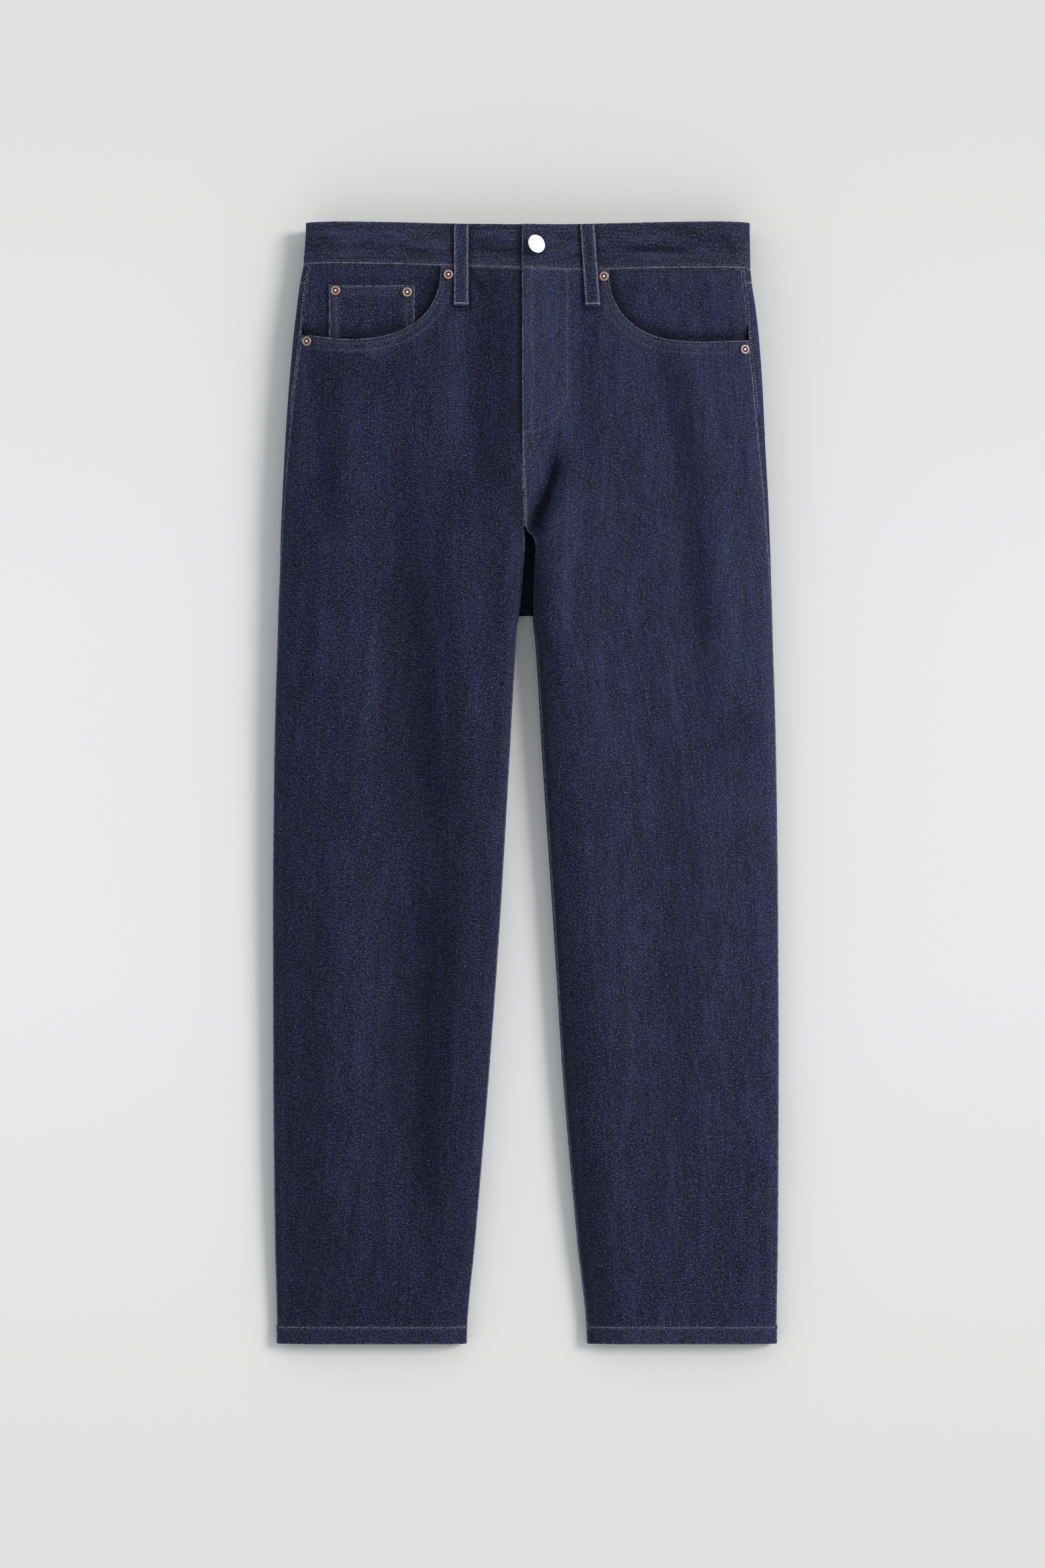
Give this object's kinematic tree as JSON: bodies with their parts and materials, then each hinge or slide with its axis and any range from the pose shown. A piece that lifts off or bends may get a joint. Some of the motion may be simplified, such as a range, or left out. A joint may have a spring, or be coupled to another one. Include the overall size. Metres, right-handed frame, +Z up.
{
  "type": "straight leg jeans",
  "caption": "Denim trousers with straight legs, laid flat front up, with a waistband, belt loops, curved front pockets, a coin pocket, a button and rivets.",
  "frame": {"origin": "middle of the jeans' footprint, on the surface that they lie on", "axes": "+X to the wearer's left, +Y from the hems to the waist, +Z up, out of the front"},
  "size_m": [0.4788, 1.0602, 0.0402],
  "materials": {
    "denim": "dark indigo twill, matte",
    "steel": "satin",
    "copper": "satin"
  },
  "bodies": {
    "root": {"back_left": "denim", "back_pocket_left": "denim", "back_pocket_right": "denim", "back_right": "denim", "belt_loop_back": "denim", "belt_loop_front_left": "denim", "belt_loop_front_right": "denim", "belt_loop_side_left": "denim", "belt_loop_side_right": "denim", "button": "steel", "coin_pocket": "denim", "front_left": "denim", "front_right": "denim", "pocket_facing_left": "denim", "pocket_facing_right": "denim", "rivet_burr_coin_inner": "copper", "rivet_burr_coin_outer": "copper", "rivet_burr_pocket_left": "copper", "rivet_burr_pocket_right": "copper", "rivet_burr_side_left": "copper", "rivet_burr_side_right": "copper", "rivet_cap_coin_inner": "steel", "rivet_cap_coin_outer": "steel", "rivet_cap_pocket_left": "steel", "rivet_cap_pocket_right": "steel", "rivet_cap_side_left": "steel", "rivet_cap_side_right": "steel", "waistband": "denim", "yoke_left": "denim", "yoke_right": "denim"}
  },
  "joints": []
}
